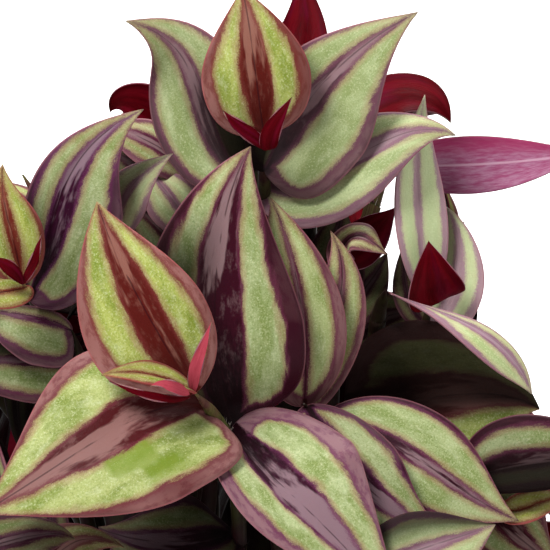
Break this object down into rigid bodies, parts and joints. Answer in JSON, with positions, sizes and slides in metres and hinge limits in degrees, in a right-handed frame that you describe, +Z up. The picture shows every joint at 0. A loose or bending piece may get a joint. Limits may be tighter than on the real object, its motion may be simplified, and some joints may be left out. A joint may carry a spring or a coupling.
{
  "type": "potted tradescantia",
  "caption": "Trailing purple, silver and green striped leaves on many stems in a plain round clay pot filled with soil.",
  "frame": {"origin": "centre of the pot's foot, on the plane that it stands on", "axes": "+Z up, through the middle of the pot; the fullest side of the foliage faces -Y"},
  "size_m": [0.2362, 0.234, 0.2561],
  "materials": {
    "clay": "unglazed terracotta",
    "earth": "dark peat soil",
    "foliage": "satin leaf, silver-green bands between purple stripes"
  },
  "bodies": {
    "root": {"pot": "clay", "soil": "earth", "stem_1": "foliage", "stem_10": "foliage", "stem_11": "foliage", "stem_12": "foliage", "stem_13": "foliage", "stem_15": "foliage", "stem_16": "foliage", "stem_17": "foliage", "stem_18": "foliage", "stem_2": "foliage", "stem_20": "foliage", "stem_21": "foliage", "stem_22": "foliage", "stem_23": "foliage", "stem_24": "foliage", "stem_25": "foliage", "stem_26": "foliage", "stem_27": "foliage", "stem_28": "foliage", "stem_3": "foliage", "stem_30": "foliage", "stem_31": "foliage", "stem_33": "foliage", "stem_34": "foliage", "stem_35": "foliage", "stem_36": "foliage", "stem_37": "foliage", "stem_38": "foliage", "stem_39": "foliage", "stem_4": "foliage", "stem_40": "foliage", "stem_41": "foliage", "stem_42": "foliage", "stem_43": "foliage", "stem_5": "foliage", "stem_7": "foliage", "stem_8": "foliage", "stem_9": "foliage", "stem_behind_left": "foliage", "stem_behind_right": "foliage", "stem_bowing": "foliage", "stem_crown": "foliage", "stem_cup": "foliage", "stem_far_right": "foliage", "stem_heart": "foliage", "stem_inner_left": "foliage", "stem_left": "foliage", "stem_left_low": "foliage", "stem_low_front": "foliage", "stem_low_left": "foliage", "stem_low_right": "foliage", "stem_reaching": "foliage", "stem_right_front": "foliage", "stem_shaded": "foliage"}
  },
  "joints": []
}
